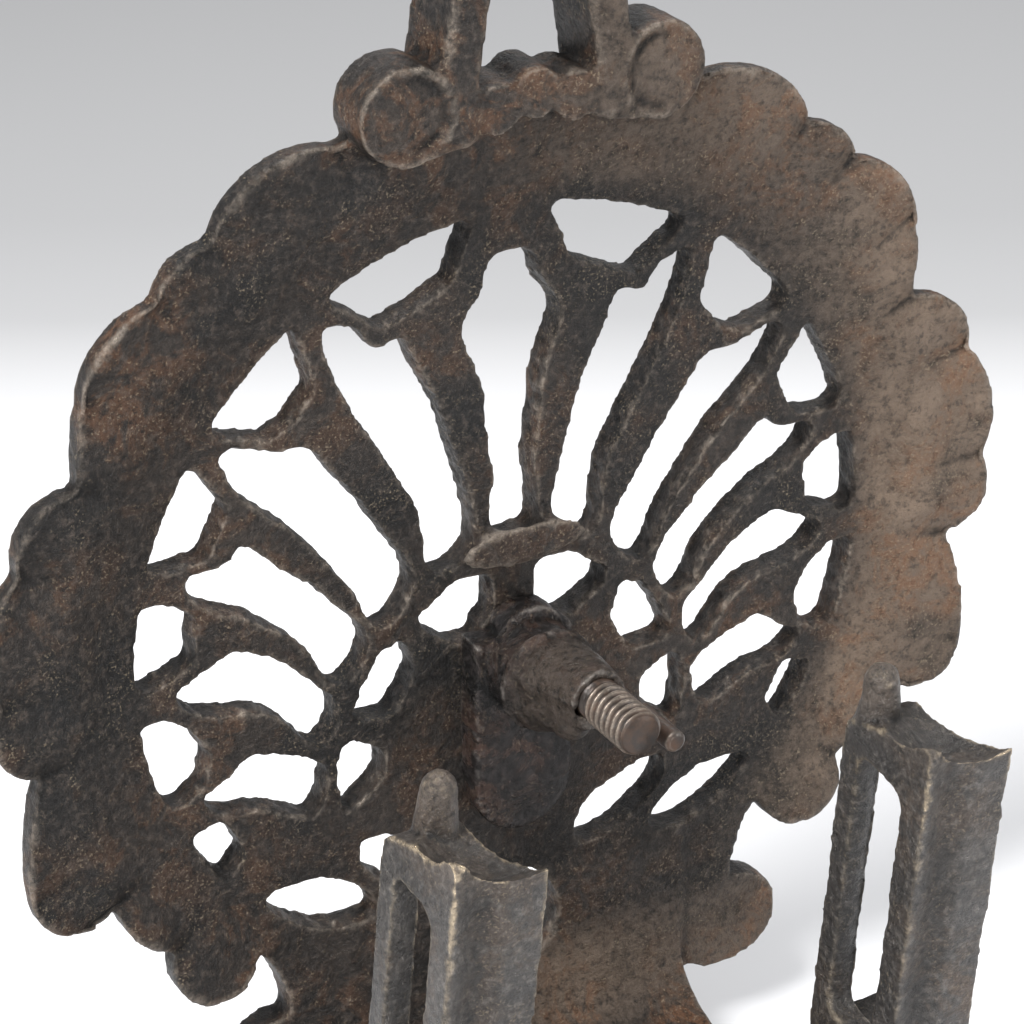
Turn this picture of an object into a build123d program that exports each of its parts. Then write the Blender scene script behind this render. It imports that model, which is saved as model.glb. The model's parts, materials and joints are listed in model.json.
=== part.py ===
"""Small cast-iron stand: an upright openwork fan plate with a finger ring, and two folding slotted posts.

The fan plate stands on a flat base. Its plain back faces -Y, where a bracket holds a threaded stud and
a dowel, and the two posts are hinged on a rod across the base. The origin is on the table, under the
plate's back face, and +Z is up.
"""

import os
from math import cos, radians, sin

from build123d import *

# Driving dimensions, in millimetres and degrees
RING = 55.0  # inner radius of the fan's ring: the plate's outlines are drawn in this unit
RING_HEIGHT = 84.0  # centre of the ring above the table
PLATE_THICK = 4.4  # ribs, ring and stem
RIM_THICK = 3.0  # outer edge of the scalloped rim
RIM_DISH = 0.2  # how far the rim leans back for each unit of radius outside the ring
LAYER_BACK = 6.9  # how far the volutes stand out of the plate's back
ARM_BACK = 7.4  # how far the two arms stand out of the plate's back
ARM_FRONT = 3.6  # and how far they reach towards the ornamental side
FIT = 0.05  # radial clearance of a pin, rod or stud in its hole

BASE_THICK = 6.0
FLANGE_HALF = 27.0  # half width of the stem's foot flange
FLANGE_TOE = -22.0

STUD_R = 3.175  # quarter-inch stud
STUD_Z = RING_HEIGHT - 0.10 * RING
STUD_TIP = -33.0
SHANK_R = 3.0  # plain shank of the stud inside the castings
PAD_THICK = 5.0
PAD_X = -1.05  # the bracket's pad sits a little to the left of the stud
PAD_HALF = 7.45
COLLAR_Y = -11.0
BOSS_TIP = -22.5
LOBE_R = 3.0
LOBE_LENGTH = 8.2  # straight part of the lobe along the boss's underside
DOWEL_R = 1.5
DOWEL_TAIL_R = 1.2
DOWEL_X = 6.0
DOWEL_Z = STUD_Z - 3.4
DOWEL_TIP = -32.0
THREAD_START = BOSS_TIP - 0.4  # where the stud and the dowel come clear of the boss

HINGE_Y = -39.0
HINGE_Z = 13.0
ROD_R = 2.4
EAR_R = 6.5
EAR_THICK = 4.5
EAR_GAP = 0.65  # side clearance between an ear and a post's foot

# Each post is an angle section: a face plate across it, and a slotted web along its left side.
# Sizes across a post are measured from the hinge, positive away from the fan, and heights from the hinge too.
POST_X = 35.2  # middle of a post's foot
POST_WIDTH = 13.0
POST_REAR = -8.6
POST_OUTER = 9.6
POST_LEAN = {-1: 5.0, 1: 8.4}  # lean away from the plate at rest, of the left and of the right post
POST_SPLAY = {-1: 2.7, 1: 1.8}  # lean of each post towards the middle
WEB_THICK = 4.0
FACE_THICK = 5.0
SLOT_REAR = -4.9
SLOT_OUTER = 4.8
SLOT_LOW = 15.6
SLOT_HIGH = 60.2
POCKET_LOW = 11.0  # floor of the hollow between the web and the face plate
SHOULDER = 64.2  # top of the web at the rear
LIP = 70.3  # top of the face plate
SCOOP_R = 13.0
SCOOP_DEPTH = 3.4
NIB_FOOT_R = 3.3
NIB_R = 2.3
NIB_TOP = 72.6
NIB_SHIFT = {-1: -0.4, 1: -3.2}  # each nib from the middle of its post
FLUTE_R = 7.0
FLUTE_DEPTH = 0.8

SCREW_R = 2.1
SCREW_X = 17.0
SCREW_Y = -14.5
SCREW_SEAT = BASE_THICK + 4.2

WASHER_START = POST_X + POST_WIDTH / 2 + EAR_GAP + EAR_THICK
WASHER_THICK = 1.2
NUT_THICK = 4.2

# The fan's back face: local x to the right, local y up, normal towards -Y
FAN = Plane(origin=(0, 0, RING_HEIGHT), x_dir=(1, 0, 0), z_dir=(0, -1, 0))


def unit(*points):
    """Points of the fan's outline, from ring radii to millimetres."""
    return [(x * RING, y * RING) for x, y in points]


def ring_arc(start, end):
    """Arc of the ring's circle between two of its points, given in degrees from the fan's right."""
    return CenterArc((0, 0), RING, start, end - start)


# Openings of the fan's right half
GAP_CENTRE = unit((0.0, 0.895), (0.06, 0.87), (0.085, 0.80), (0.125, 0.745), (0.09, 0.60), (0.068, 0.45),
                  (0.056, 0.30), (0.052, 0.165), (0.0, 0.16))
GAP_A = unit((0.445, 0.795), (0.495, 0.785), (0.488, 0.74), (0.462, 0.665), (0.37, 0.49), (0.305, 0.375),
             (0.25, 0.25), (0.212, 0.105), (0.125, 0.13), (0.112, 0.24), (0.165, 0.443), (0.205, 0.563),
             (0.255, 0.657), (0.30, 0.735), (0.355, 0.722))
GAP_B = unit((0.70, 0.545), (0.76, 0.535), (0.74, 0.475), (0.68, 0.40), (0.56, 0.283), (0.475, 0.17),
             (0.425, 0.095), (0.365, -0.005), (0.285, 0.07), (0.345, 0.237), (0.407, 0.337), (0.48, 0.437),
             (0.55, 0.513), (0.62, 0.519))
GAP_C = unit((0.733, 0.29), (0.79, 0.262), (0.86, 0.245), (0.845, 0.20), (0.715, 0.117), (0.645, 0.067),
             (0.55, -0.03), (0.47, -0.135), (0.405, -0.05), (0.478, 0.083), (0.545, 0.158), (0.628, 0.225))
GAP_D = unit((0.765, 0.03), (0.83, 0.0), (0.90, -0.055), (0.87, -0.09), (0.80, -0.122), (0.69, -0.146),
             (0.61, -0.205), (0.535, -0.28), (0.488, -0.196), (0.563, -0.092), (0.62, -0.037), (0.685, 0.008))
GAP_E = unit((0.53, -0.335), (0.567, -0.31), (0.633, -0.28), (0.742, -0.27), (0.785, -0.305), (0.845, -0.345),
             (0.82, -0.38), (0.675, -0.42), (0.55, -0.465), (0.525, -0.41))
INNER_CELLS = [
    unit((0.056, 0.062), (0.16, 0.068), (0.262, 0.0), (0.248, -0.05), (0.205, -0.072), (0.17, -0.098),
         (0.10, -0.105), (0.09, -0.066), (0.06, -0.044)),
    unit((0.304, -0.05), (0.367, -0.075), (0.417, -0.15), (0.452, -0.24), (0.34, -0.253), (0.305, -0.205),
         (0.275, -0.142)),
    unit((0.446, -0.295), (0.483, -0.308), (0.488, -0.40), (0.472, -0.50), (0.425, -0.465), (0.365, -0.41),
         (0.367, -0.342)),
    unit((0.80, -0.415), (0.88, -0.43), (0.865, -0.483), (0.80, -0.585), (0.745, -0.52), (0.775, -0.45)),
]
LEAVES = [
    unit((0.40, -0.785), (0.433, -0.725), (0.50, -0.675), (0.567, -0.652), (0.70, -0.677), (0.66, -0.73),
         (0.575, -0.785), (0.483, -0.812)),
    unit((0.375, -0.585), (0.437, -0.60), (0.433, -0.65), (0.367, -0.717), (0.29, -0.765), (0.18, -0.765),
         (0.185, -0.69), (0.235, -0.637), (0.30, -0.613)),
]
# Cells against the ring: the angles of the ring's arc, then the points that close the cell
RIM_CELLS = [
    (84.3, 62.0, unit((0.465, 0.853), (0.41, 0.82), (0.345, 0.768), (0.26, 0.798), (0.16, 0.848))),
    (55.5, 39.2, unit((0.765, 0.592), (0.64, 0.557), (0.58, 0.583), (0.52, 0.657), (0.537, 0.717))),
    (32.6, 17.8, unit((0.925, 0.283), (0.81, 0.29), (0.773, 0.355), (0.75, 0.41), (0.80, 0.487))),
    (12.0, 0.0, unit((0.97, -0.015), (0.89, 0.0125), (0.85, 0.033), (0.842, 0.15), (0.90, 0.195))),
    (-5.8, -19.2, unit((0.90, -0.342), (0.842, -0.30), (0.826, -0.22), (0.862, -0.15), (0.93, -0.10))),
]
# Scalloped rim: each lobe is an arc from the last notch through the first point to the next notch
RIM_START = (0.4675, 1.25)
RIM_LOBES = [
    ((0.66, 1.237), (0.782, 1.085)),
    ((0.87, 1.055), (0.92, 0.97)),
    ((1.02, 0.932), (1.107, 0.79)),
    ((1.121, 0.68), (1.122, 0.555)),
    ((1.235, 0.53), (1.285, 0.395)),
    ((1.37, 0.25), (1.352, 0.075)),
    ((1.36, -0.06), (1.262, -0.135)),
    ((1.31, -0.30), (1.315, -0.46)),
    ((1.24, -0.56), (1.10, -0.54)),
    ((1.06, -0.64), (0.95, -0.722)),
    ((0.88, -0.89), (0.7265, -0.808)),
]
STEM_START = (0.7265, -0.808)
STEM_FOOT = (BASE_THICK - RING_HEIGHT) / RING
STEM_ARCS = [
    ((0.672, -0.90), (0.645, -1.03)),
    ((0.80, -1.15), (0.70, -1.285)),
    ((0.61, -1.30), (0.52, -1.262)),
]


def arcs_from(start, arcs):
    """Chain of arcs through (middle, end) pairs, in ring radii."""
    for middle, end in arcs:
        ThreePointArc(*unit(start, middle, end))
        start = end


def opening(points):
    """One smooth closed opening of the fan."""
    with BuildSketch(mode=Mode.PRIVATE) as sketch:
        with BuildLine():
            Spline(*points, periodic=True)
        make_face()
    return sketch.sketch


def polygon_opening(points, radius=0.9):
    """One straight-sided opening with rounded corners."""
    with BuildSketch(mode=Mode.PRIVATE) as sketch:
        Polygon(*points, align=None)
        fillet(sketch.vertices(), radius=radius)
    return sketch.sketch


def rim_cell(start, end, points):
    """One opening that borders the ring."""
    with BuildSketch(mode=Mode.PRIVATE) as sketch:
        with BuildLine():
            edge = ring_arc(start, end)
            Polyline(edge @ 1, *points, edge @ 0)
        make_face()
    return sketch.sketch


def back_plate_part():
    """The fan plate: one casting with its stem, volutes, arms, finger ring and foot flange."""
    with BuildPart() as plate:
        # scalloped fan, dished outside the ring
        with BuildSketch(FAN.offset(-10)):
            with BuildLine():
                Polyline(*unit((0, -0.80), (0, 1.27), (0.40, 1.27), RIM_START))
                arcs_from(RIM_START, RIM_LOBES)
                Line(*unit(STEM_START, (0, -0.80)))
            make_face()
            mirror(about=Plane.YZ)
        extrude(amount=25)
        side = Plane(origin=(0, 0, RING_HEIGHT), x_dir=(0, 1, 0), z_dir=(1, 0, 0))
        outer = 1.5 * RING
        edge_y = -RIM_DISH * (outer - RING)
        with BuildSketch(side):
            Polygon((0, 0), (0, RING), (edge_y, outer), (edge_y + RIM_THICK, outer),
                    (PLATE_THICK, 1.06 * RING), (PLATE_THICK, 0), align=None)
        revolve(axis=Axis((0, 0, RING_HEIGHT), (0, 1, 0)), mode=Mode.INTERSECT)

        # waisted stem with a second pair of scrolls
        with BuildSketch(FAN.offset(-PLATE_THICK)):
            with BuildLine():
                Polyline(*unit((0, STEM_FOOT), (0, -0.70), (0.62, -0.74), STEM_START))
                arcs_from(STEM_START, STEM_ARCS)
                Polyline(*unit((0.52, -1.262), (0.49, -1.30), (0.49, STEM_FOOT), (0, STEM_FOOT)))
            make_face()
            mirror(about=Plane.YZ)
        extrude(amount=PLATE_THICK)

        # foot flange, swept forward from the stem
        foot = Plane(origin=(-FLANGE_HALF, 0, 0), x_dir=(0, 1, 0), z_dir=(1, 0, 0))
        with BuildSketch(foot):
            with BuildLine():
                sweep_line = Spline((FLANGE_TOE, 9.4), (-10, 10.8), (-3.0, 15.0), (-0.7, 23.0), (0, 40))
                Polyline(sweep_line @ 1, (PLATE_THICK, 40), (PLATE_THICK, BASE_THICK),
                         (FLANGE_TOE, BASE_THICK), sweep_line @ 0)
            make_face()
        extrude(amount=2 * FLANGE_HALF)

        # volutes and crest: a thicker layer across the top
        with BuildSketch(FAN.offset(-1.5)):
            with Locations(*unit((0.325, 1.315), (-0.325, 1.315))):
                Circle(0.118 * RING)
            with Locations(*unit((0, 1.315), (0.1, 1.295), (-0.1, 1.295))):
                Circle(0.062 * RING)
            Polygon(*unit((-0.325, 1.205), (-0.20, 1.215), (-0.06, 1.27), (0.06, 1.27), (0.20, 1.215),
                          (0.325, 1.205), (0.325, 1.40), (0.24, 1.33), (-0.24, 1.33), (-0.325, 1.40)),
                    align=None)
        extrude(amount=LAYER_BACK + 1.5)

        # arms and finger ring
        with BuildSketch(FAN.offset(-ARM_FRONT)):
            for s in (-1, 1):
                Polygon(*unit((s * 0.268, 1.27), (s * 0.175, 1.22), (s * 0.068, 1.86), (s * 0.158, 1.89)),
                        align=None)
            with Locations(*unit((0, 2.05))):
                Circle(0.265 * RING)
                Circle(0.175 * RING, mode=Mode.SUBTRACT)
        extrude(amount=ARM_FRONT + ARM_BACK)

        # lens-shaped ledge on the crown of the inner arch
        with BuildSketch(FAN):
            with Locations(*unit((0, 0.155))):
                Ellipse(0.17 * RING, 0.05 * RING)
        extrude(amount=3.4)

        # openings
        with BuildSketch(FAN.offset(-10)):
            for points in (GAP_A, GAP_B, GAP_C, GAP_D, GAP_E, *LEAVES):
                add(opening(points))
            for points in INNER_CELLS:
                add(polygon_opening(points))
            for start, end, points in RIM_CELLS:
                add(rim_cell(start, end, points))
            with BuildLine():
                Spline(*GAP_CENTRE)
                Line(GAP_CENTRE[-1], GAP_CENTRE[0])
            make_face()
            mirror(about=Plane.YZ)
            with Locations(*unit((0, -0.94))):
                Ellipse(0.115 * RING, 0.14 * RING)
        extrude(amount=12.5, mode=Mode.SUBTRACT)

        # holes for the stud, the dowel and the two foot screws
        with BuildSketch(FAN.offset(-10)):
            with Locations((0, STUD_Z - RING_HEIGHT)):
                Circle(SHANK_R)
            with Locations((DOWEL_X, DOWEL_Z - RING_HEIGHT)):
                Circle(DOWEL_TAIL_R)
        extrude(amount=15, mode=Mode.SUBTRACT)
        with BuildSketch(Plane.XY.offset(BASE_THICK - 1)):
            with Locations((SCREW_X, SCREW_Y), (-SCREW_X, SCREW_Y)):
                Circle(SCREW_R + FIT)
        extrude(amount=8, mode=Mode.SUBTRACT)
        with BuildSketch(Plane.XY.offset(SCREW_SEAT)):
            with Locations((SCREW_X, SCREW_Y), (-SCREW_X, SCREW_Y)):
                Circle(4.6)
        extrude(amount=8, mode=Mode.SUBTRACT)
    return plate.part


def base_part():
    """Flat base casting with two pairs of hinge ears."""
    with BuildPart() as base:
        with BuildSketch():
            with BuildLine():
                Line((0, -46), (45, -46))
                RadiusArc((45, -46), (48, -43), -3)
                Line((48, -43), (48, -34))
                ThreePointArc((48, -34), (36, -26), (31, -12))
                Line((31, -12), (31, 8))
                RadiusArc((31, 8), (25, 14), -6)
                Line((25, 14), (0, 14))
                Line((0, 14), (0, -46))
            make_face()
            mirror(about=Plane.YZ)
        extrude(amount=BASE_THICK)
        ear_starts = [s * POST_X + t * (POST_WIDTH / 2 + EAR_GAP) for s in (-1, 1) for t in (-1, 1)]
        ear_signs = (-1, 1, -1, 1)
        for start, sign in zip(ear_starts, ear_signs):
            ear_plane = Plane(origin=(start, HINGE_Y, 0), x_dir=(0, 1, 0), z_dir=(1, 0, 0))
            with BuildSketch(ear_plane):
                with Locations((0, HINGE_Z)):
                    Circle(EAR_R)
                Polygon((-EAR_R, HINGE_Z), (EAR_R, HINGE_Z), (EAR_R + 3, BASE_THICK - 1),
                        (-EAR_R, BASE_THICK - 1), align=None)
                with Locations((0, HINGE_Z)):
                    Circle(ROD_R + FIT, mode=Mode.SUBTRACT)
            extrude(amount=sign * EAR_THICK)
        with BuildSketch(Plane.XY.offset(BASE_THICK)):
            with Locations((SCREW_X, SCREW_Y), (-SCREW_X, SCREW_Y)):
                Circle(SCREW_R)
        extrude(amount=-5, mode=Mode.SUBTRACT)
    return base.part


def hub_bracket_part():
    """Tongue-shaped pad with a short neck above it and the lobed boss that carries the stud and the dowel."""
    stud_at = (0, STUD_Z - RING_HEIGHT)
    dowel_at = (DOWEL_X, DOWEL_Z - RING_HEIGHT)
    collar_at = (-0.6, stud_at[1] - 2.8)
    left, right = PAD_X - PAD_HALF, PAD_X + PAD_HALF
    shoulder, toe = -0.075 * RING, -0.49 * RING
    with BuildPart() as bracket:
        with BuildSketch(FAN):
            with BuildLine():
                Polyline((right, toe), (right, shoulder), (left, shoulder), (left, toe))
                ThreePointArc((left, toe), (PAD_X, -0.62 * RING), (right, toe))
            make_face()
        extrude(amount=PAD_THICK)
        fillet(bracket.faces().sort_by(Axis.Y)[0].edges(), radius=1.0)
        # rounded neck on the pad's shoulder, between the two inner cells of the fan
        with BuildSketch(FAN):
            with Locations((0.4, shoulder + 0.4)):
                Ellipse(4.4, 3.2)
        extrude(amount=PAD_THICK - 0.4)
        # collar, then the boss tapering to the stud
        with BuildSketch(FAN.offset(PAD_THICK - 1)):
            with Locations(collar_at):
                Circle(6.7)
        extrude(amount=-COLLAR_Y - PAD_THICK + 1)
        with BuildSketch(FAN.offset(-COLLAR_Y - 1.2)):
            with Locations(collar_at):
                Circle(7.3)
        extrude(amount=1.2)
        with BuildSketch(FAN.offset(-COLLAR_Y)):
            with Locations(collar_at):
                Circle(6.9)
        with BuildSketch(FAN.offset(-BOSS_TIP)):
            with Locations(stud_at):
                Circle(4.0)
        loft()
        # lobe along the boss's underside
        lobe_at = Location((-1.2, stud_at[1] - 4.0, 0))
        with BuildSketch(FAN.offset(-COLLAR_Y - 1)):
            with Locations(lobe_at):
                Circle(LOBE_R)
        extrude(amount=LOBE_LENGTH)
        with Locations(FAN.offset(-COLLAR_Y - 1 + LOBE_LENGTH) * lobe_at):
            Sphere(LOBE_R)
        with BuildSketch(FAN.offset(-1)):
            with Locations(stud_at):
                Circle(SHANK_R)
            with Locations(dowel_at):
                Circle(DOWEL_TAIL_R)
        extrude(amount=30, mode=Mode.SUBTRACT)
    return bracket.part


def post_part(side):
    """One slotted post at its rest lean; side is -1 on the left and 1 on the right."""
    lean = radians(POST_LEAN[side])
    splay = radians(POST_SPLAY[side])
    across = Vector(0, -cos(lean), -sin(lean))
    upward = Vector(-side * sin(splay), -sin(lean) * cos(splay), cos(lean) * cos(splay))
    left = across.cross(upward)
    hinge = Vector(side * POST_X, HINGE_Y, HINGE_Z)
    half = POST_WIDTH / 2
    profile = Plane(origin=hinge - left * half, x_dir=across, z_dir=left)
    section = Plane(origin=hinge, x_dir=across, z_dir=upward)
    foot_r = EAR_R - 0.1
    with BuildPart() as post:
        with BuildSketch(profile):
            with BuildLine():
                Polyline((-foot_r, 0), (POST_REAR, 11), (POST_REAR, SHOULDER - 1.2),
                         (POST_REAR + 1.2, SHOULDER), (POST_OUTER - 1.6, LIP))
                ThreePointArc((POST_OUTER - 1.6, LIP), (POST_OUTER - 0.4, LIP - 0.5), (POST_OUTER, LIP - 1.8))
                Polyline((POST_OUTER, LIP - 1.8), (POST_OUTER, 11), (foot_r, 0))
                ThreePointArc((foot_r, 0), (0, -foot_r), (-foot_r, 0))
            make_face()
        extrude(amount=POST_WIDTH)
        # pocket that leaves the face plate and the web, then the slanted rear of the cap above it
        with BuildSketch(section.offset(POCKET_LOW)):
            with Locations((POST_REAR - 2, half + 2)):
                Rectangle(POST_OUTER - FACE_THICK - POST_REAR + 2, POST_WIDTH - WEB_THICK + 2,
                          align=(Align.MIN, Align.MAX))
        extrude(amount=SLOT_HIGH - POCKET_LOW, mode=Mode.SUBTRACT)
        with BuildSketch(section.offset(POCKET_LOW)):
            Polygon((POST_REAR - 1, 2.4), (POST_REAR - 1, half + 1), (POST_OUTER - FACE_THICK, half + 1),
                    (POST_OUTER - FACE_THICK, half), (POST_REAR, 2.4), align=None)
        extrude(amount=NIB_TOP - POCKET_LOW, mode=Mode.SUBTRACT)
        # scooped top, with the nib standing at its rear
        scoop_at = section.offset(SHOULDER + 2.2 + SCOOP_R - SCOOP_DEPTH)
        with Locations(scoop_at * Location((0.6, 3.2, 0))):
            Sphere(SCOOP_R, mode=Mode.SUBTRACT)
        nib_at = Location((POST_REAR + NIB_FOOT_R - 0.8, NIB_SHIFT[side], 0))
        nib_foot = SLOT_HIGH + 1
        with Locations(section.offset(nib_foot) * nib_at):
            Cone(NIB_FOOT_R, NIB_R, NIB_TOP - NIB_R - nib_foot, align=(Align.CENTER, Align.CENTER, Align.MIN))
        with Locations(section.offset(NIB_TOP - NIB_R) * nib_at):
            Sphere(NIB_R)
        # slot through the web
        with BuildSketch(profile) as slot:
            with Locations(((SLOT_REAR + SLOT_OUTER) / 2, (SLOT_LOW + SLOT_HIGH) / 2)):
                Rectangle(SLOT_OUTER - SLOT_REAR, SLOT_HIGH - SLOT_LOW)
            fillet(slot.vertices(), radius=2.4)
        extrude(amount=POST_WIDTH + 1, mode=Mode.SUBTRACT)
        # shallow flute down the face plate
        with BuildSketch(section.offset(EAR_R * 2)):
            with Locations((POST_OUTER + FLUTE_R - FLUTE_DEPTH, -2.4)):
                Circle(FLUTE_R)
        extrude(amount=LIP - EAR_R * 2, mode=Mode.SUBTRACT)
        rod_hole = Plane(origin=(side * POST_X - 12, HINGE_Y, HINGE_Z), x_dir=(0, 1, 0), z_dir=(1, 0, 0))
        with BuildSketch(rod_hole):
            Circle(ROD_R + FIT)
        extrude(amount=24, mode=Mode.SUBTRACT)
    return post.part


def turned(steps, origin, direction):
    """A turned piece: (radius, length) steps one after another from the origin along the direction."""
    plane = Plane(origin=origin, z_dir=direction)
    reach = 0.0
    with BuildPart() as piece:
        for radius, length in steps:
            with BuildSketch(plane.offset(reach)):
                Circle(radius)
            extrude(amount=length)
            reach += length
    return piece


def stud_part():
    """Stud: a plain shank in the castings, then a cylinder at the thread's outside diameter."""
    tail = PLATE_THICK
    steps = [(SHANK_R, tail - THREAD_START), (STUD_R, THREAD_START - STUD_TIP)]
    stud = turned(steps, (0, tail, STUD_Z), (0, -1, 0))
    with stud:
        chamfer(stud.faces().sort_by(Axis.Y)[0].edges(), length=0.5)
    return stud.part


def dowel_part():
    """Dowel pin beside the stud, flush with the ornamental side and thinner inside the castings."""
    tail = PLATE_THICK
    steps = [(DOWEL_TAIL_R, tail - THREAD_START), (DOWEL_R, THREAD_START - DOWEL_TIP)]
    dowel = turned(steps, (DOWEL_X, tail, DOWEL_Z), (0, -1, 0))
    with dowel:
        chamfer(dowel.faces().sort_by(Axis.Y)[0].edges(), length=0.4)
    return dowel.part


def washer_part(origin, direction, hole, outer, thick):
    """Flat washer."""
    with BuildPart() as washer:
        with BuildSketch(Plane(origin=origin, z_dir=direction)):
            Circle(outer)
            Circle(hole, mode=Mode.SUBTRACT)
        extrude(amount=thick)
    return washer.part


def foot_screw_part(side):
    """Round-headed slotted screw that holds the stem's flange down on the base."""
    top = SCREW_SEAT
    with BuildPart() as screw:
        with BuildSketch(Plane(origin=(side * SCREW_X, SCREW_Y, 0), x_dir=(1, 0, 0), z_dir=(0, -1, 0))):
            with BuildLine():
                dome = ThreePointArc((4.0, top + 0.6), (2.9, top + 2.1), (0, top + 2.7))
                Polyline(dome @ 1, (0, 1.4), (SCREW_R - 0.5, 1.4), (SCREW_R, 2.0), (SCREW_R, top),
                         (4.0, top), dome @ 0)
            make_face()
        revolve(axis=Axis((side * SCREW_X, SCREW_Y, 0), (0, 0, 1)))
        with BuildSketch(Plane.XY.offset(top + 1.6)):
            with Locations((side * SCREW_X, SCREW_Y)):
                Rectangle(9, 1.0, rotation=25 * side)
        extrude(amount=2, mode=Mode.SUBTRACT)
    return screw.part


def rod_part():
    """Hinge rod through all four ears and both posts, with chamfered ends."""
    half = WASHER_START + WASHER_THICK + NUT_THICK + 1.6
    rod = turned([(ROD_R, 2 * half)], (-half, HINGE_Y, HINGE_Z), (1, 0, 0))
    with rod:
        chamfer(rod.edges().filter_by(GeomType.CIRCLE), length=0.6)
    return rod.part


def rod_nut_part(side):
    """Hexagon nut on one end of the hinge rod."""
    start = side * (WASHER_START + WASHER_THICK)
    with BuildPart() as nut:
        with BuildSketch(Plane(origin=(start, HINGE_Y, HINGE_Z), x_dir=(0, 1, 0), z_dir=(side, 0, 0))):
            RegularPolygon(5.0, 6, major_radius=False)
            Circle(ROD_R + FIT, mode=Mode.SUBTRACT)
        extrude(amount=NUT_THICK)
    return nut.part


def save(part, label):
    """Label a piece and write it as one STEP file."""
    part.label = label
    export_step(part, f"parts/{label}.step")


os.makedirs("parts", exist_ok=True)
save(back_plate_part(), "back_plate")
save(base_part(), "base")
save(hub_bracket_part(), "hub_bracket")
save(stud_part(), "threaded_stud")
save(dowel_part(), "dowel_pin")
save(rod_part(), "hinge_rod")
for name, side in (("left", -1), ("right", 1)):
    save(post_part(side), f"post_{name}")
    save(foot_screw_part(side), f"foot_screw_{name}")
    save(washer_part((side * WASHER_START, HINGE_Y, HINGE_Z), (side, 0, 0), ROD_R + 0.15, 5.8, WASHER_THICK),
         f"rod_washer_{name}")
    save(rod_nut_part(side), f"rod_nut_{name}")
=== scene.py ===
"""The looks of the sad iron stand: an old iron casting, brown with age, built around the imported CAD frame.

Every casting starts as a copy of its CAD node and is remeshed to an even skin. It then gets its sand-cast
waviness, ragged edges, creases and relief as real geometry. Lengths are in metres in the row frame.
"""

import json
import math

import bmesh
import bpy
import numpy as np
from mathutils import Matrix, Vector, noise


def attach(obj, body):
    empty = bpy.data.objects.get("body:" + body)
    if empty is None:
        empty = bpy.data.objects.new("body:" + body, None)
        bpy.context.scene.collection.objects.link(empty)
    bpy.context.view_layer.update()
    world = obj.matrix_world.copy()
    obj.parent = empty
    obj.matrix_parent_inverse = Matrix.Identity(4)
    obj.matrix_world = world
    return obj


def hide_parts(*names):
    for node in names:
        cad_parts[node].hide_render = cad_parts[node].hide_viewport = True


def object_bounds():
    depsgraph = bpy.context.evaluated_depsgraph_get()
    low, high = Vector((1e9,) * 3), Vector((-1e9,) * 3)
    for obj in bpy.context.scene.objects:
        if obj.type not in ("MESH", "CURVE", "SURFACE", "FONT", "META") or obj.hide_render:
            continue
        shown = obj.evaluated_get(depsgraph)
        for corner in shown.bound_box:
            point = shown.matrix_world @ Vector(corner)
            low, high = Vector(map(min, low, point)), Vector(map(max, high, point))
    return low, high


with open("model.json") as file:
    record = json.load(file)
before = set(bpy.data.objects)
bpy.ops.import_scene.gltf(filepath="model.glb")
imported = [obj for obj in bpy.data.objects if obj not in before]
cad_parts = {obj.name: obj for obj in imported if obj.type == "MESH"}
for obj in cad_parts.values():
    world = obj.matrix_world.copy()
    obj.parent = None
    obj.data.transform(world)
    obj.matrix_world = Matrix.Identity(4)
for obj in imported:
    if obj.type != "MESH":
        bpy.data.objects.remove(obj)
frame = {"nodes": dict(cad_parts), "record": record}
cad_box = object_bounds()

RECORD = frame["record"]
NODE_BODY = {node: body for body, nodes in RECORD["behaviour"]["bodies"].items() for node in nodes}
HINGES = {joint["child"]: Vector(joint["pos_m"]) for joint in RECORD["behaviour"]["joints"]}
MOUNTS = {mount["name"]: mount for mount in RECORD["mounts"]}

MM = 0.001
RING = 55 * MM  # inner radius of the fan's ring
RING_CENTRE = Vector((0, 0, 84 * MM))

# The stud, along Y from its tail in the plate to its threaded tip
STUD_Z = MOUNTS["stud"]["pos_m"][2]
STUD_TAIL = 4.4 * MM
THREAD_START = -22.9 * MM
THREAD_TIP = -33.0 * MM
CREST = MOUNTS["stud"]["dims"]["r_mm"] * MM
ROOT = 2.62 * MM
SHANK = 3.0 * MM
PITCH = 1.27 * MM
TIP_CHAMFER = 0.55 * MM

# Size of the even skin that each piece is given
PLATE_VOXEL = 0.62 * MM
BASE_VOXEL = 0.8 * MM
BRACKET_VOXEL = 0.33 * MM
POST_VOXEL = 0.38 * MM

# Notches of the scalloped rim's right half and the volutes' centres, in ring radii from the ring's centre
RIM_NOTCHES = ((0.4675, 1.25), (0.782, 1.085), (0.92, 0.97), (1.107, 0.79), (1.122, 0.555), (1.285, 0.395),
               (1.352, 0.075), (1.262, -0.135), (1.315, -0.46), (1.10, -0.54), (0.95, -0.722))
VOLUTE_X = 0.325
VOLUTE_Z = 1.315
STEM_TOP = -0.86

# Lean of each post towards the middle, in degrees
POST_SPLAY = {"left": 2.7, "right": 1.8}

# Name, place, target height, size and power of each soft light
LIGHTS = (
    ("key", (-0.62, -0.28, 0.95), 0.08, 0.40, 19),
    ("fill", (0.75, -0.80, 0.45), 0.08, 0.7, 7),
    ("glint", (-0.50, -0.48, 0.16), 0.08, 0.16, 1.1),
    ("rim_light", (0.5, 0.6, 0.8), 0.09, 0.6, 6),
)

# Where the camera stands, and where it lies as seen from what it looks at, in degrees
CAMERA_PLACE = RING_CENTRE + RING * Vector((-3.48566, -6.28478, 3.80382))
CAMERA_AZIMUTH = 241.0278
CAMERA_ELEVATION = 26.525
CAMERA_ROLL = 0.3477
CAMERA_LENS = 117.18

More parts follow.
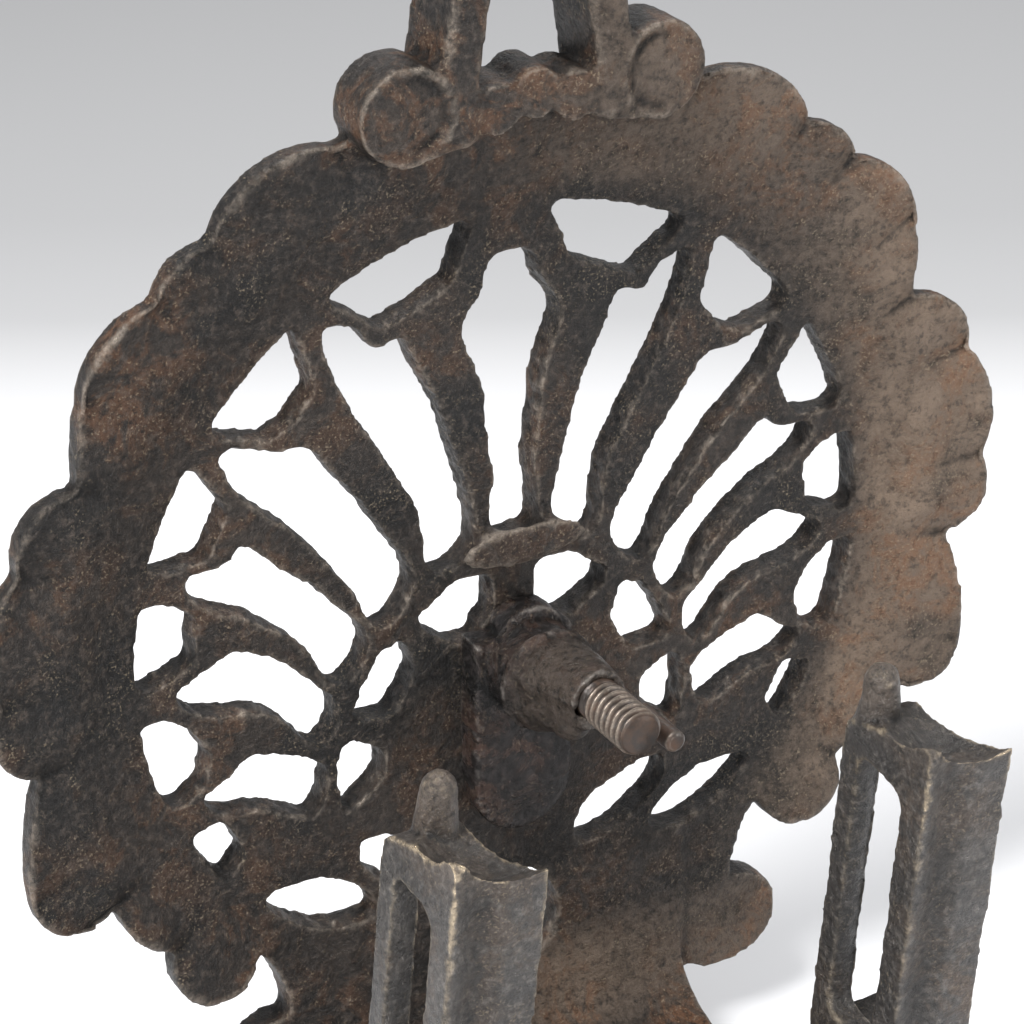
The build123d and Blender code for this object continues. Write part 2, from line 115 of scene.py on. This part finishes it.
# Painted light falloff of the paper floor: its brightness at distances along the view, in metres
FLOOR_PAINTED_FALLOFF = ((0.19, 0.82), (0.24, 0.60), (0.29, 0.40), (0.35, 0.35), (0.52, 0.31))
DUST = (0.36, 0.29, 0.20)
# Colour of the tan film: dust, and painted light on the lit parts of the plate and on the bracket's boss
TAN_DUST_AND_LIGHT = (0.27, 0.195, 0.14)


# Node helpers


class Maker:
    """Adds shader nodes to one material in short calls."""

    def __init__(self, name):
        self.material = bpy.data.materials.new(name)
        self.material.use_nodes = True
        self.nodes = self.material.node_tree.nodes
        self.links = self.material.node_tree.links
        self.shader = self.nodes["Principled BSDF"]
        self.place = self.nodes.new("ShaderNodeTexCoord").outputs["Object"]

    def plug(self, socket, value):
        """Links a socket, or sets a plain value."""
        if isinstance(value, bpy.types.NodeSocket):
            self.links.new(value, socket)
        else:
            socket.default_value = value

    def noise(self, scale, detail=4.0, rough=0.6, distortion=0.0):
        """Fractal noise from 0 to 1, scale per metre."""
        node = self.nodes.new("ShaderNodeTexNoise")
        node.inputs["Scale"].default_value = scale
        node.inputs["Detail"].default_value = detail
        node.inputs["Roughness"].default_value = rough
        node.inputs["Distortion"].default_value = distortion
        self.plug(node.inputs["Vector"], self.place)
        return node.outputs["Fac"]

    def attribute(self, name):
        """A number stored at each vertex."""
        node = self.nodes.new("ShaderNodeAttribute")
        node.attribute_name = name
        return node.outputs["Fac"]

    def span(self, value, low, high, to_low=0.0, to_high=1.0):
        """Maps low to high onto to_low to to_high, held at both ends."""
        node = self.nodes.new("ShaderNodeMapRange")
        self.plug(node.inputs["Value"], value)
        self.plug(node.inputs["From Min"], low)
        self.plug(node.inputs["From Max"], high)
        self.plug(node.inputs["To Min"], to_low)
        self.plug(node.inputs["To Max"], to_high)
        return node.outputs["Result"]

    def math(self, operation, a, b, clamp=True):
        node = self.nodes.new("ShaderNodeMath")
        node.operation = operation
        node.use_clamp = clamp
        self.plug(node.inputs[0], a)
        self.plug(node.inputs[1], b)
        return node.outputs["Value"]

    def mix(self, share, a, b):
        """Colour a with a share of colour b."""
        node = self.nodes.new("ShaderNodeMix")
        node.data_type = "RGBA"
        self.plug(node.inputs["Factor"], share)
        self.plug(node.inputs[6], a if isinstance(a, bpy.types.NodeSocket) else (*a, 1))
        self.plug(node.inputs[7], b if isinstance(b, bpy.types.NodeSocket) else (*b, 1))
        return node.outputs[2]

    def bump(self, height, depth, before=None):
        node = self.nodes.new("ShaderNodeBump")
        node.inputs["Strength"].default_value = 1.0
        node.inputs["Distance"].default_value = depth
        self.plug(node.inputs["Height"], height)
        if before is not None:
            self.plug(node.inputs["Normal"], before)
        return node.outputs["Normal"]

    def finish(self, colour, roughness, metallic, normal):
        self.plug(self.shader.inputs["Base Color"], colour)
        self.plug(self.shader.inputs["Roughness"], roughness)
        self.plug(self.shader.inputs["Metallic"], metallic)
        self.plug(self.shader.inputs["Normal"], normal)
        return self.material


def scaled(colour, factor):
    """A colour made lighter or darker."""
    return tuple(min(1, c * factor) for c in colour)


def iron_material(name, dark, brown, rust, worn, rust_share, worn_share, rough_about, dust, sheen=0.35,
                  relief=1.0):
    """Aged cast iron: patchy brown over near black, rust blooms, worn edges and settled dust, with painted
    shade in its hollows and a tan film that is partly dust and partly painted light.
    """
    m = Maker(name)
    m.shader.inputs["Specular IOR Level"].default_value = sheen
    edge = m.attribute("edge")
    hollow = m.attribute("hollow")
    rusty = m.attribute("rusty")
    dust_and_light = m.attribute("dust_and_light")
    broad = m.noise(38, 5, 0.62, 0.3)
    patch = m.noise(170, 8, 0.72, 0.6)
    grain = m.noise(900, 6, 0.75)
    speck = m.noise(2600, 3, 0.65)
    colour = m.mix(m.span(broad, 0.38, 0.64), dark, brown)
    colour = m.mix(m.span(patch, 0.40, 0.62, 0.0, 0.75), colour, scaled(dark, 0.45))
    bloom = m.math("MULTIPLY", m.span(patch, 0.47, 0.56), m.span(broad, 0.44, 0.56))
    bloom = m.math("MULTIPLY", bloom, m.math("ADD", rusty, rust_share))
    colour = m.mix(bloom, colour, rust)
    # Tan film: partly dust, partly painted light on the plate's lit right rim and stem and on the bracket's
    # boss.
    dust_and_light_film = m.math("MULTIPLY", dust_and_light, m.span(patch, 0.66, 0.40, 0.25, 1.0))
    dust_and_light_film = m.math("MULTIPLY", dust_and_light_film, m.span(grain, 0.34, 0.62, 0.45, 1.0))
    colour = m.mix(dust_and_light_film, colour, TAN_DUST_AND_LIGHT)
    colour = m.mix(m.span(grain, 0.52, 0.64, 0.0, 0.55), colour, scaled(brown, 2.8))
    pepper = m.math("MULTIPLY", m.span(grain, 0.48, 0.36, 0.0, 0.80), m.span(dust_and_light, 0.0, 1.0, 1.0, 0.45))
    colour = m.mix(pepper, colour, scaled(dark, 0.3))
    # Painted shade: hollows are darkened where shade would gather in them.
    colour = m.mix(m.math("MULTIPLY", hollow, 0.85), colour, scaled(dark, 0.3))
    settled = m.math("MULTIPLY", m.span(speck, 0.57, 0.64), m.span(patch, 0.46, 0.56))
    colour = m.mix(m.math("MULTIPLY", settled, dust), colour, DUST)
    rubbed = m.math("MULTIPLY", edge, m.span(grain, 0.34, 0.60, 0.10, 1.0))
    rubbed = m.math("MULTIPLY", rubbed, m.span(broad, 0.40, 0.58, 0.25, 1.0))
    rubbed = m.math("MULTIPLY", rubbed, worn_share)
    colour = m.mix(rubbed, colour, worn)
    rough = m.span(patch, 0.32, 0.68, rough_about - 0.12, rough_about + 0.16)
    rough = m.math("SUBTRACT", rough, m.math("MULTIPLY", rubbed, 0.20))
    rough = m.math("ADD", rough, m.math("MULTIPLY", dust_and_light_film, 0.20))
    metal = m.span(rubbed, 0.0, 1.0, 0.15, 0.85)
    normal = m.bump(patch, 0.0010 * relief)
    normal = m.bump(grain, 0.00065 * relief, normal)
    normal = m.bump(speck, 0.00022 * relief, normal)
    return m.finish(colour, rough, metal, normal)


def steel_material(name, dark, bright, rust, rough_about):
    """Browned steel: bright where the edge attribute says it is rubbed, rust brown in noise patches."""
    m = Maker(name)
    edge = m.attribute("edge")
    patch = m.noise(420, 5, 0.65, 0.4)
    fine = m.noise(2400, 3, 0.6)
    colour = m.mix(m.span(patch, 0.42, 0.66), dark, rust)
    rubbed = m.math("MULTIPLY", edge, m.span(fine, 0.32, 0.62, 0.35, 1.0))
    colour = m.mix(rubbed, colour, bright)
    rough = m.span(patch, 0.3, 0.7, rough_about - 0.08, rough_about + 0.14)
    metal = m.span(rubbed, 0.0, 1.0, 0.45, 0.95)
    normal = m.bump(patch, 0.00012)
    normal = m.bump(fine, 0.00004, normal)
    return m.finish(colour, rough, metal, normal)


# Mesh helpers


def mesh_arrays(mesh):
    """Vertex places, vertex normals and edges of a mesh as arrays."""
    places = np.zeros(len(mesh.vertices) * 3)
    mesh.vertices.foreach_get("co", places)
    normals = np.zeros(len(mesh.vertices) * 3, np.float32)
    mesh.vertex_normals.foreach_get("vector", normals)
    edges = np.zeros(len(mesh.edges) * 2, np.int32)
    mesh.edges.foreach_get("vertices", edges)
    return places.reshape(-1, 3), normals.reshape(-1, 3).astype(float), edges.reshape(-1, 2)


def averaged(values, edges, rounds):
    """Values smoothed over each vertex's neighbours."""
    count = np.bincount(edges.ravel(), minlength=len(values)).astype(float)
    count[count == 0] = 1
    flat = values.reshape(len(values), -1)
    for _ in range(rounds):
        columns = []
        for column in flat.T:
            total = np.bincount(edges[:, 0], column[edges[:, 1]], len(values))
            total += np.bincount(edges[:, 1], column[edges[:, 0]], len(values))
            columns.append(total / count)
        flat = np.stack(columns, 1)
    return flat.reshape(values.shape)


def noise_at(places, scale, octaves=3, shift=0.0):
    """Soft noise from about -1 to 1, with features of about scale metres."""
    offset = Vector((shift, 2.3 * shift, -1.7 * shift))
    return np.array([noise.fractal(Vector(p) / scale + offset, 0.9, 2.1, octaves) for p in places])


def hump(values, centre, width):
    """A smooth hump: 1 at the centre and falling away over the width."""
    return np.exp(-(((values - centre) / width) ** 2))


def rise(values, start, width):
    """0 up to the start and 1 past the width, with a straight slope between."""
    return np.clip((values - start) / width, 0, 1)


def store(mesh, name, values):
    """Keeps one number from 0 to 1 at each vertex, for the materials."""
    attribute = mesh.attributes.new(name, "FLOAT", "POINT")
    attribute.data.foreach_set("value", np.clip(values, 0, 1).astype(np.float32))


def store_wear(obj, voxel, reach=3, rubbing_and_glint=1.0):
    """Stores how convex (edge) and how hollow each vertex is, for the materials; the hollow number becomes
    painted shade.
    """
    places, normals, edges = mesh_arrays(obj.data)
    bulge = np.einsum("ij,ij->i", places - averaged(places, edges, reach), normals) / voxel
    store(obj.data, "edge", (bulge - 0.17) / 0.30 * rubbing_and_glint)
    store(obj.data, "hollow", (-bulge - 0.06) / 0.22)


def even_copy(node, name, voxel, rounds):
    """A copy of a CAD node's mesh with an even, slightly softened skin."""
    mesh = frame["nodes"][node].data.copy()
    bm = bmesh.new()
    bm.from_mesh(mesh)
    bmesh.ops.remove_doubles(bm, verts=bm.verts, dist=1e-6)
    bm.to_mesh(mesh)
    bm.free()
    rough = bpy.data.objects.new(name + "_raw", mesh)
    bpy.context.collection.objects.link(rough)
    remesh = rough.modifiers.new("even", "REMESH")
    remesh.mode = "VOXEL"
    remesh.voxel_size = voxel
    soften = rough.modifiers.new("soften", "SMOOTH")
    soften.factor = 0.5
    soften.iterations = rounds
    depsgraph = bpy.context.evaluated_depsgraph_get()
    made = bpy.data.meshes.new_from_object(rough.evaluated_get(depsgraph))
    bpy.data.objects.remove(rough)
    made.materials.clear()
    obj = bpy.data.objects.new(name, made)
    bpy.context.collection.objects.link(obj)
    return obj


def move_out(obj, amount):
    """Moves every vertex along its normal by its amount."""
    places, normals, _ = mesh_arrays(obj.data)
    places = places + normals * amount[:, None]
    obj.data.vertices.foreach_set("co", places.ravel())
    obj.data.update()


def keep_in_box(obj):
    """Brings back any vertex that its waviness has pushed out of the CAD's box."""
    places, _, _ = mesh_arrays(obj.data)
    places = np.clip(places, np.array(cad_box[0]), np.array(cad_box[1]))
    obj.data.vertices.foreach_set("co", places.ravel())
    obj.data.update()


def cast_skin(obj, wave, pit, seed):
    """Sand-cast waviness and pitting, in metres."""
    places, _, _ = mesh_arrays(obj.data)
    waves = noise_at(places, 11 * MM, 2, seed)
    pits = noise_at(places, 2.2 * MM, 3, seed + 5)
    move_out(obj, wave * waves + pit * pits)
    keep_in_box(obj)


def put_on(obj, node, material):
    """Finishes a piece that stands for one CAD node."""
    obj.data.materials.append(material)
    obj.data.shade_smooth()
    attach(obj, NODE_BODY[node])
    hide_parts(node)


# Stage, light and camera


def light_world():
    """A pale, slightly cool surround."""
    world = bpy.data.worlds.new("studio")
    world.use_nodes = True
    background = world.node_tree.nodes["Background"]
    background.inputs["Color"].default_value = (0.93, 0.95, 1.0, 1)
    background.inputs["Strength"].default_value = 0.33
    bpy.context.scene.world = world


def area_light(name, place, target_z, size, power):
    """A round soft light aimed at a height on the object's middle line."""
    data = bpy.data.lights.new(name, "AREA")
    data.shape = "DISK"
    data.size = size
    data.energy = power
    light = bpy.data.objects.new(name, data)
    light.location = place
    light.rotation_mode = "QUATERNION"
    light.rotation_quaternion = (Vector((0, 0, target_z)) - Vector(place)).to_track_quat("-Z", "Y")
    bpy.context.collection.objects.link(light)


def make_camera():
    """The camera at the photograph's place and angle."""
    data = bpy.data.cameras.new("photo_view")
    data.lens = CAMERA_LENS
    data.sensor_width = 36
    camera = bpy.data.objects.new("photo_view", data)
    turn = Matrix.Rotation(math.radians(CAMERA_AZIMUTH + 90), 4, "Z")
    tilt = Matrix.Rotation(math.radians(90 - CAMERA_ELEVATION), 4, "X")
    roll = Matrix.Rotation(math.radians(-CAMERA_ROLL), 4, "Z")
    camera.matrix_world = Matrix.Translation(CAMERA_PLACE) @ turn @ tilt @ roll
    bpy.context.collection.objects.link(camera)
    bpy.context.scene.camera = camera


def paper_material():
    """White paper with painted light falloff: its far part darkens to grey along the camera's level
    direction.
    """
    m = Maker("floor_paper")
    place = m.nodes.new("ShaderNodeSeparateXYZ")
    m.links.new(m.place, place.inputs["Vector"])
    across = m.math("MULTIPLY", place.outputs["X"], 0.48, clamp=False)
    along = m.math("MULTIPLY", place.outputs["Y"], 0.875, clamp=False)
    # Painted light: the ramp darkens the paper with distance, as the light falls off.
    ramp = m.nodes.new("ShaderNodeValToRGB")
    m.plug(ramp.inputs["Fac"], m.math("ADD", across, along, clamp=False))
    stops = ramp.color_ramp.elements
    for _ in FLOOR_PAINTED_FALLOFF[2:]:
        stops.new(0.5)
    for stop, (distance, shade) in zip(stops, FLOOR_PAINTED_FALLOFF):
        stop.position = distance
        stop.color = (shade, shade, shade * 1.01, 1)
    m.plug(m.shader.inputs["Base Color"], ramp.outputs["Color"])
    m.shader.inputs["Roughness"].default_value = 0.95
    return m.material


def make_floor():
    """A wide sheet of paper just under the base."""
    mesh = bpy.data.meshes.new("floor")
    bm = bmesh.new()
    bmesh.ops.create_grid(bm, x_segments=2, y_segments=2, size=4)
    bm.to_mesh(mesh)
    bm.free()
    floor = bpy.data.objects.new("floor", mesh)
    floor.location.z = cad_box[0].z - 0.2 * MM
    mesh.materials.append(paper_material())
    bpy.context.collection.objects.link(floor)


# The castings


def near_arc(angle, centre, width):
    """1 on a direction from the ring's centre and falling to 0 at width, both in degrees."""
    gap = np.abs((angle - centre + 180) % 360 - 180) / width
    return np.clip(1 - gap, 0, 1) ** 2


class PlateSkin:
    """The plate's vertices in ring radii from the ring's centre, and which way each one faces."""

    def __init__(self, obj):
        self.places, normals, self.edges = mesh_arrays(obj.data)
        self.x = self.places[:, 0] / RING
        self.z = (self.places[:, 2] - RING_CENTRE.z) / RING
        self.radius = np.hypot(self.x, self.z)
        self.angle = np.degrees(np.arctan2(self.z, self.x))
        self.back = np.clip(-normals[:, 1] * 1.6 - 0.5, 0, 1)
        self.front = np.clip(normals[:, 1] * 1.6 - 0.5, 0, 1)


def sand_relief(skin):
    """Waviness and pits all over, and ragged walls in the cells, in millimetres."""
    coarse = noise_at(skin.places, 9 * MM, 2, 3.1)
    ragged = noise_at(skin.places, 2.0 * MM, 3, 7.7)
    pits = noise_at(skin.places, 1.1 * MM, 2, 1.9)
    cell_wall = np.clip(1 - (skin.back + skin.front) * 1.4, 0, 1) * (skin.radius < 1.02)
    inner_back = skin.back * (skin.radius < 1.12)
    return 0.12 * coarse + 0.09 * pits + (0.30 * cell_wall + 0.10 * inner_back) * ragged


def rim_creases(skin):
    """1 along the creases that run in from the rim's notches, and 0 away from them."""
    crease = np.zeros(len(skin.places))
    for notch_x, notch_z in RIM_NOTCHES:
        reach = rise(skin.radius, math.hypot(notch_x, notch_z) - 0.20, 0.17) ** 1.5
        for side in (1, -1):
            notch_angle = math.degrees(math.atan2(notch_z, side * notch_x))
            crease = np.maximum(crease, near_arc(skin.angle, notch_angle, 4.8) * reach)
    return crease


def rim_relief(skin):
    """Creases and petals of the rim, and a bead round the ring on the ornamental side, in millimetres."""
    crease = rim_creases(skin)
    cuts = rise(skin.radius, 1.05, 0.14) * crease * (0.95 * skin.back + 0.75 * skin.front)
    back_swell = hump(skin.radius, 1.19, 0.07) * np.clip(1.9 - np.abs(skin.z + 0.15) * 1.4, 0, 1)
    bead = hump(skin.radius, 1.045, 0.028) * (skin.z > STEM_TOP)
    petal = hump(skin.radius, 1.20, 0.06) * (skin.z > STEM_TOP)
    on_back = skin.back * back_swell * (1 - crease) * 0.55
    on_front = skin.front * (bead * 1.1 + petal * (1 - crease) * 0.9)
    return on_back + on_front - cuts


def volute_relief(skin):
    """A curled lip with a groove inside it, on the inner side of each volute, in millimetres."""
    amount = np.zeros(len(skin.places))
    for side in (-1, 1):
        outward = side * (skin.x - side * VOLUTE_X)
        from_centre = np.hypot(outward, skin.z - VOLUTE_Z)
        inner = np.clip(0.6 - outward * 14, 0, 1)
        lip = 0.22 * hump(from_centre, 0.106, 0.012)
        groove = 0.38 * hump(from_centre, 0.084, 0.014)
        amount = amount + skin.back * inner * (lip - groove)
    return amount


def make_plate():
    """The fan plate: near black, with a tan film on its right rim, crown and stem that is painted light and
    partly dust.
    """
    obj = even_copy("back_plate", "fan_plate", PLATE_VOXEL, 2)
    skin = PlateSkin(obj)
    move_out(obj, (sand_relief(skin) + rim_relief(skin) + volute_relief(skin)) * MM)
    keep_in_box(obj)
    store_wear(obj, PLATE_VOXEL)
    broad = noise_at(skin.places, 22 * MM, 2, 4.4)
    right_rim = rise(skin.x, 0.55, 0.45) * rise(skin.radius, 0.98, 0.08)
    crown = rise(skin.radius, 1.02, 0.08) * rise(skin.z, 0.75, 0.3) * rise(skin.x, -0.1, 0.4)
    stem = rise(-skin.z, 0.98, 0.14) * rise(skin.x, -0.30, 0.25)
    # Painted light: the right rim and the stem, which catch more light, get the light tan film in their
    # colour.
    dust_and_light = np.maximum(np.maximum(right_rim, 0.6 * crown), 0.8 * stem) * skin.back
    store(obj.data, "dust_and_light", averaged(dust_and_light * (0.85 + 0.35 * broad), skin.edges, 4))
    warm = 0.15 + 0.65 * right_rim + 0.35 * rise(skin.radius, 1.05, 0.3) + 0.3 * stem
    store(obj.data, "rusty", averaged(warm + 0.30 * broad, skin.edges, 2))
    material = iron_material(
        "plate_iron", dark=(0.012, 0.011, 0.0105), brown=(0.040, 0.031, 0.025), rust=(0.150, 0.070, 0.034),
        worn=(0.40, 0.34, 0.28), rust_share=0.10, worn_share=0.85, rough_about=0.42, dust=0.45)
    put_on(obj, "back_plate", material)


def finish_casting(obj, node, voxel, seed, material, warm, dust_and_light, rubbing_and_glint=1.0):
    """Stores the wear, rust, dust and painted light of a smaller casting and puts it on its CAD node."""
    places, _, _ = mesh_arrays(obj.data)
    store_wear(obj, voxel, 3, rubbing_and_glint)
    store(obj.data, "rusty", warm + 0.3 * noise_at(places, 16 * MM, 2, seed + 2))
    store(obj.data, "dust_and_light", dust_and_light)
    put_on(obj, node, material)


def swell_lobe(obj):
    """Raises the lobe along the boss's underside, with a hollow on each side of it."""
    places, _, _ = mesh_arrays(obj.data)
    angle = np.degrees(np.arctan2(places[:, 2] - STUD_Z, places[:, 0]))
    along = rise(-places[:, 1], 10.5 * MM, 2 * MM)
    lobe = hump(angle, -112, 17)
    hollows = hump(angle, -66, 16) + hump(angle, -158, 18)
    move_out(obj, along * (0.45 * lobe - 0.7 * hollows) * MM)


def make_bracket():
    """The hub bracket: near black colour standing for painted shade on the pad, and a smoother boss
    lightened by painted light.
    """
    seed = 2.0
    # Painted shade: the near black colours stand in for the shade over the pad.
    material = iron_material(
        "bracket_iron", dark=(0.007, 0.007, 0.007), brown=(0.022, 0.018, 0.017), rust=(0.100, 0.052, 0.036),
        worn=(0.36, 0.33, 0.30), rust_share=0.10, worn_share=0.95, rough_about=0.24, dust=0.22, sheen=0.3,
        relief=0.55)
    obj = even_copy("hub_bracket", "hub_bracket_iron", BRACKET_VOXEL, 2)
    swell_lobe(obj)
    cast_skin(obj, 0.26 * MM, 0.15 * MM, seed)
    places, _, _ = mesh_arrays(obj.data)
    # Painted light: the boss, standing out from the shaded pad, is lightened towards its tip.
    dust_and_light = 0.22 * rise(-places[:, 1], 9 * MM, 5 * MM)
    finish_casting(obj, "hub_bracket", BRACKET_VOXEL, seed, material, 0.25, dust_and_light)


def make_base():
    """The base: rusty, with dust on its top."""
    seed = 9.0
    material = iron_material(
        "base_iron", dark=(0.018, 0.016, 0.015), brown=(0.050, 0.040, 0.032), rust=(0.150, 0.070, 0.036),
        worn=(0.28, 0.24, 0.20), rust_share=0.25, worn_share=0.6, rough_about=0.46, dust=0.6)
    obj = even_copy("base", "base_iron_piece", BASE_VOXEL, 3)
    cast_skin(obj, 0.22 * MM, 0.10 * MM, seed)
    places, _, _ = mesh_arrays(obj.data)
    finish_casting(obj, "base", BASE_VOXEL, seed, material, 0.3, 0.4 * (places[:, 2] > 5 * MM))


def flute_post(obj, hinge, splay):
    """Deepens the flute down a post's face and rounds up the bead beside it."""
    places, normals, _ = mesh_arrays(obj.data)
    height = places[:, 2]
    lean_in = math.copysign(math.tan(math.radians(splay)), hinge.x)
    across = (places[:, 0] - hinge.x + lean_in * (height - hinge.z)) / MM
    face = np.clip(-normals[:, 1] * 3 - 1.8, 0, 1)
    face = face * rise(height, 22 * MM, 5 * MM) * (1 - rise(height, 74 * MM, 6 * MM))
    move_out(obj, face * (0.22 * hump(across, -4.9, 1.2) - 0.55 * hump(across, -1.6, 1.5)) * MM)


def make_posts():
    """Both posts: greyer iron, rubbed bright at their edges, with a painted highlight that grows towards
    their tops.
    """
    # The bright worn colour is partly wear and partly a painted highlight on the edges.
    material = iron_material(
        "post_iron", dark=(0.036, 0.034, 0.033), brown=(0.064, 0.057, 0.051), rust=(0.130, 0.080, 0.050),
        worn=(0.72, 0.58, 0.40), rust_share=0.05, worn_share=1.0, rough_about=0.32, dust=0.35, sheen=0.55,
        relief=0.8)
    for side, seed in (("left", 12.0), ("right", 15.0)):
        node = f"post_{side}"
        obj = even_copy(node, f"{node}_iron", POST_VOXEL, 2)
        flute_post(obj, HINGES[NODE_BODY[node]], POST_SPLAY[side])
        cast_skin(obj, 0.18 * MM, 0.13 * MM, seed)
        height = mesh_arrays(obj.data)[0][:, 2]
        dust_and_light = 0.35 * rise(height, 76 * MM, 6 * MM)
        # Painted highlight: besides the real wear, the rubbed edges brighten towards the tops, where glints
        # show.
        rubbing_and_glint = 0.35 + 1.1 * rise(height, 68 * MM, 8 * MM)
        finish_casting(obj, node, POST_VOXEL, seed, material, 0.15, dust_and_light, rubbing_and_glint)


# The stud and the small steel pieces


def thread_radius(y, turn):
    """Radius of the thread at one place along the stud and one share of a turn round it."""
    phase = (y / PITCH + turn) % 1.0
    tooth = 1 - abs(2 * phase - 1)
    tooth = min(1.0, max(0.0, (tooth - 0.10) / 0.72))
    run_out = min(1.0, (THREAD_START - y) / (1.1 * PITCH))
    crest = ROOT + (CREST - ROOT) * (0.35 + 0.65 * run_out)
    from_tip = min(1.0, (y - THREAD_TIP) / TIP_CHAMFER)
    return min(ROOT + (crest - ROOT) * tooth, CREST - TIP_CHAMFER * (1 - from_tip))


def make_stud():
    """The stud with a real thread: a helical grid from a plain shank to a chamfered tip."""
    around = 72
    rings_per_pitch = 20
    length = THREAD_START - THREAD_TIP
    steps = int(length / PITCH * rings_per_pitch)
    rings = [(STUD_TAIL, False), (THREAD_START + 0.9 * MM, False), (THREAD_START, False)]
    rings += [(THREAD_START - length * i / steps, True) for i in range(1, steps + 1)]
    verts = []
    bright = []
    for y, threaded in rings:
        for k in range(around):
            turn = k / around
            angle = 2 * math.pi * turn
            radius = thread_radius(y, turn) if threaded else SHANK
            wear_place = Vector((7 * math.cos(angle), 7 * math.sin(angle), y / MM * 1.4))
            radius += 0.035 * MM * noise.noise(wear_place)
            verts.append((radius * math.cos(angle), y, STUD_Z + radius * math.sin(angle)))
            bright.append((radius - ROOT) / (CREST - ROOT) if threaded else 0.3)
    faces = []
    for start in range(0, (len(rings) - 1) * around, around):
        for k in range(around):
            following = (k + 1) % around
            faces.append((start + k, start + following, start + around + following, start + around + k))
    for start, y in ((0, STUD_TAIL), ((len(rings) - 1) * around, THREAD_TIP)):
        centre = len(verts)
        verts.append((0, y, STUD_Z))
        bright.append(0.25)
        faces += [(start + k, start + (k + 1) % around, centre) for k in range(around)]
    mesh = bpy.data.meshes.new("threaded_stud_piece")
    mesh.from_pydata(verts, [], faces)
    bm = bmesh.new()
    bm.from_mesh(mesh)
    bmesh.ops.recalc_face_normals(bm, faces=bm.faces)
    bm.to_mesh(mesh)
    bm.free()
    obj = bpy.data.objects.new("stud_thread", mesh)
    bpy.context.collection.objects.link(obj)
    store(mesh, "edge", (np.array(bright) - 0.35) / 0.6)
    material = steel_material("stud_steel", dark=(0.036, 0.029, 0.025), bright=(0.30, 0.25, 0.205),
                              rust=(0.075, 0.045, 0.030), rough_about=0.36)
    put_on(obj, "threaded_stud", material)


def make_small(node, name, voxel, material, seed):
    """One small steel piece: the CAD's shape, barely roughened."""
    obj = even_copy(node, name, voxel, 2)
    cast_skin(obj, 0.02 * MM, 0.03 * MM, seed)
    store_wear(obj, voxel, 4)
    put_on(obj, node, material)


def make_small_pieces():
    """The dowel, the rod and each side's screw, washer and nut."""
    browned = steel_material("browned_steel", dark=(0.045, 0.038, 0.034), bright=(0.32, 0.28, 0.24),
                             rust=(0.090, 0.052, 0.034), rough_about=0.42)
    make_small("dowel_pin", "dowel_steel", 0.2 * MM, browned, 1.0)
    make_small("hinge_rod", "rod_steel_piece", 0.3 * MM, browned, 2.0)
    for side in ("left", "right"):
        make_small(f"foot_screw_{side}", f"foot_screw_{side}_steel", 0.2 * MM, browned, 3.0)
        make_small(f"rod_washer_{side}", f"rod_washer_{side}_steel", 0.2 * MM, browned, 4.0)
        make_small(f"rod_nut_{side}", f"rod_nut_{side}_steel", 0.22 * MM, browned, 5.0)


light_world()
make_camera()
make_floor()
for light in LIGHTS:
    area_light(*light)
make_plate()
make_bracket()
make_base()
make_posts()
make_stud()
make_small_pieces()

bpy.context.scene.view_settings.view_transform = "Standard"
